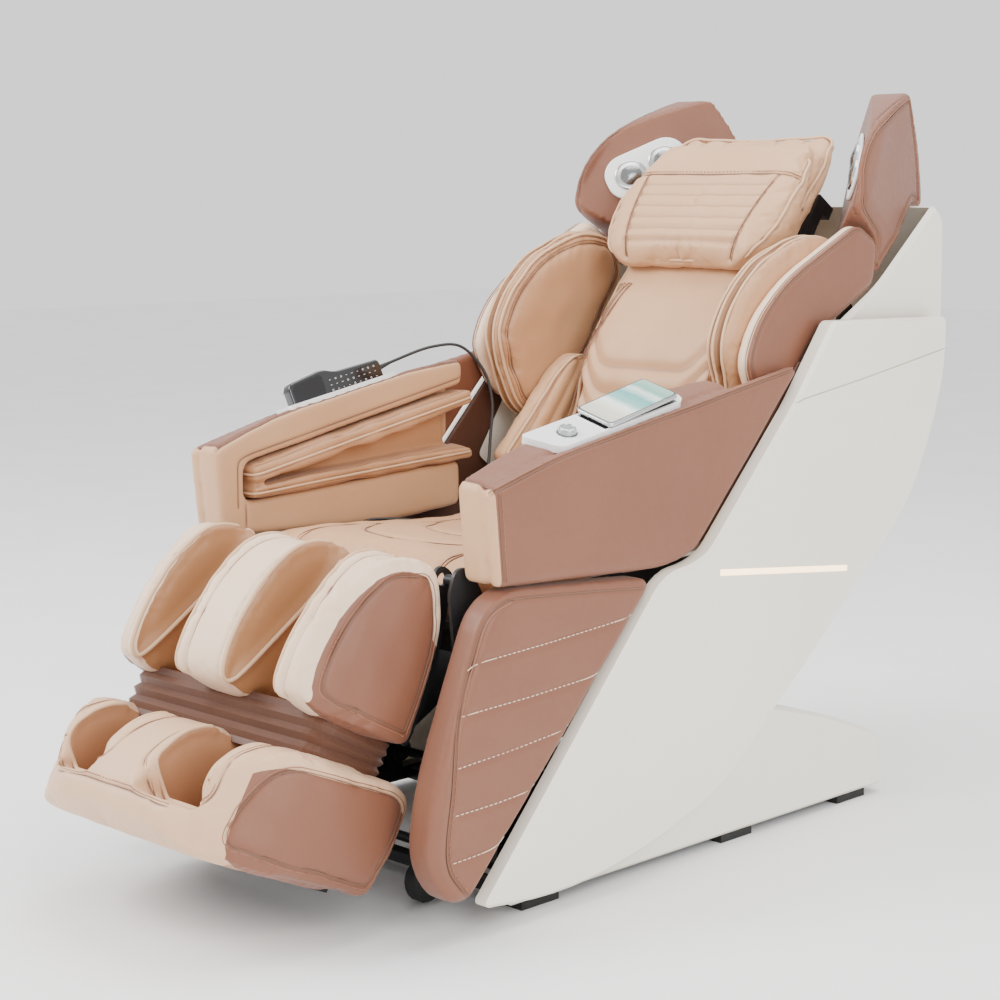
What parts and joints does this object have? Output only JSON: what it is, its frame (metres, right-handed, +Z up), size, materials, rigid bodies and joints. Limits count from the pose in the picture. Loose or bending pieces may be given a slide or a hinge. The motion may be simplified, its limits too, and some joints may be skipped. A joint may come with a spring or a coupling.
{
  "type": "massage chair",
  "caption": "Massage chair on a low pedestal, with a tilting seat unit, reclining back, raising leg rest with a sliding foot section, and padded arms with hollow airbags.",
  "frame": {"origin": "on the floor, under the middle of the chair", "axes": "+Z up, +X to the sitter's left, -Y to the front, where the sitter faces"},
  "size_m": [0.741, 1.6053, 1.2328],
  "materials": {
    "shell_white": "satin warm white moulded shell",
    "leather_brown": "soft rose-brown synthetic leather",
    "leather_tan": "soft tan synthetic leather",
    "frame_steel": "black powder coat",
    "black_plastic": "matt black",
    "rubber": "matt black",
    "white_plastic": "gloss white",
    "knob_metal": "satin",
    "light_cover": "diffusing light cover, lit warm white",
    "screen_glass": "glossy screen"
  },
  "bodies": {
    "base": {"base_cover": "shell_white", "base_frame": "frame_steel", "foot_front_left": "rubber", "foot_front_right": "rubber", "foot_middle_left": "rubber", "foot_middle_right": "rubber", "foot_rear_left": "rubber", "foot_rear_right": "rubber", "tilt_motor": "black_plastic"},
    "transport_wheel_left": {"transport_wheel_left": "rubber"},
    "transport_wheel_right": {"transport_wheel_right": "rubber"},
    "tilt_roller_front": {"tilt_roller_front": "frame_steel"},
    "tilt_roller_rear": {"tilt_roller_rear": "frame_steel"},
    "seat_unit": {"seat_frame": "frame_steel", "seat_cushion": "leather_tan", "side_shell_left": "shell_white", "side_shell_right": "shell_white", "light_strip_left": "light_cover", "light_strip_right": "light_cover", "lower_panel_left": "leather_brown", "lower_panel_right": "leather_brown", "side_liner_left": "leather_brown", "side_liner_right": "leather_brown", "arm_outer_panel_left": "leather_brown", "arm_outer_panel_right": "leather_brown", "arm_pad_left": "leather_tan", "arm_pad_right": "leather_tan", "arm_airbag_left": "leather_tan", "arm_airbag_right": "leather_tan", "phone_tray": "white_plastic", "phone": "screen_glass", "remote_cradle": "white_plastic", "remote_cable": "black_plastic"},
    "control_knob": {"control_knob": "knob_metal"},
    "remote_control": {"remote_control": "black_plastic"},
    "backrest": {"back_frame": "frame_steel", "back_shell": "shell_white", "back_cushion": "leather_tan", "waist_pad_left": "leather_tan", "waist_pad_right": "leather_tan", "shoulder_panel_left": "leather_brown", "shoulder_panel_right": "leather_brown", "shoulder_airbag_left": "leather_tan", "shoulder_airbag_right": "leather_tan", "head_wing_left": "leather_brown", "head_wing_right": "leather_brown", "speaker_plate_left": "white_plastic", "speaker_plate_right": "white_plastic"},
    "head_pillow": {"head_pillow": "leather_tan"},
    "massage_carriage": {"massage_carriage": "black_plastic"},
    "massage_arm_left": {"massage_arm_left": "black_plastic"},
    "massage_arm_right": {"massage_arm_right": "black_plastic"},
    "leg_rest": {"leg_frame": "frame_steel", "calf_pad": "leather_tan", "calf_side_left": "leather_brown", "calf_side_right": "leather_brown"},
    "foot_section": {"foot_base": "black_plastic", "foot_pad": "leather_tan", "foot_side_left": "leather_brown", "foot_side_right": "leather_brown"}
  },
  "joints": [
    {"name": "tilt", "type": "hinge", "parent": "base", "child": "seat_unit", "pos_m": [0, -0.193, 0.645], "axis": [-1, 0, 0], "range_deg": [0, 20]},
    {"name": "tilt_roller_front_spin", "type": "hinge", "parent": "base", "child": "tilt_roller_front", "pos_m": [0, -0.23523, 0.04107], "axis": [-1, 0, 0], "continuous": true},
    {"name": "tilt_roller_rear_spin", "type": "hinge", "parent": "base", "child": "tilt_roller_rear", "pos_m": [0, 0.02396, 0.07981], "axis": [-1, 0, 0], "continuous": true},
    {"name": "wheel_left_spin", "type": "hinge", "parent": "base", "child": "transport_wheel_left", "pos_m": [0.196, -0.352, 0.038], "axis": [1, 0, 0], "continuous": true},
    {"name": "wheel_right_spin", "type": "hinge", "parent": "base", "child": "transport_wheel_right", "pos_m": [-0.196, -0.352, 0.038], "axis": [1, 0, 0], "continuous": true},
    {"name": "recline", "type": "hinge", "parent": "seat_unit", "child": "backrest", "pos_m": [0, 0.25, 0.5], "axis": [-1, 0, 0], "range_deg": [0, 25]},
    {"name": "pillow_flip", "type": "hinge", "parent": "backrest", "child": "head_pillow", "pos_m": [0, 0.63273, 1.14811], "axis": [-1, 0, 0], "range_deg": [0, 120]},
    {"name": "carriage_travel", "type": "slide", "parent": "backrest", "child": "massage_carriage", "axis": [0, 0.5446, 0.8387], "range_m": [0, 0.34]},
    {"name": "massage_arm_left_rock", "type": "hinge", "parent": "massage_carriage", "child": "massage_arm_left", "pos_m": [0, 0.41761, 0.67732], "axis": [-1, 0, 0], "range_deg": [-3.5, 3.5]},
    {"name": "massage_arm_right_rock", "type": "hinge", "parent": "massage_carriage", "child": "massage_arm_right", "pos_m": [0, 0.41761, 0.67732], "axis": [-1, 0, 0], "range_deg": [-3.5, 3.5]},
    {"name": "leg_raise", "type": "hinge", "parent": "seat_unit", "child": "leg_rest", "pos_m": [0, -0.345, 0.5], "axis": [-1, 0, 0], "range_deg": [0, 85]},
    {"name": "foot_extend", "type": "slide", "parent": "leg_rest", "child": "foot_section", "axis": [0, -0.5195, -0.8545], "range_m": [0, 0.12]},
    {"name": "knob_turn", "type": "hinge", "parent": "seat_unit", "child": "control_knob", "pos_m": [0.31187, -0.16823, 0.70345], "axis": [0.2924, -0.1726, 0.9406], "continuous": true},
    {"name": "remote_lift", "type": "slide", "parent": "seat_unit", "child": "remote_control", "axis": [-0.2924, -0.1726, 0.9406], "range_m": [0, 0.08]}
  ],
  "couplings": [
    {"joint": "tilt_roller_front_spin", "follows": "tilt", "ratio": -29.25},
    {"joint": "tilt_roller_rear_spin", "follows": "tilt", "ratio": -29.25}
  ]
}
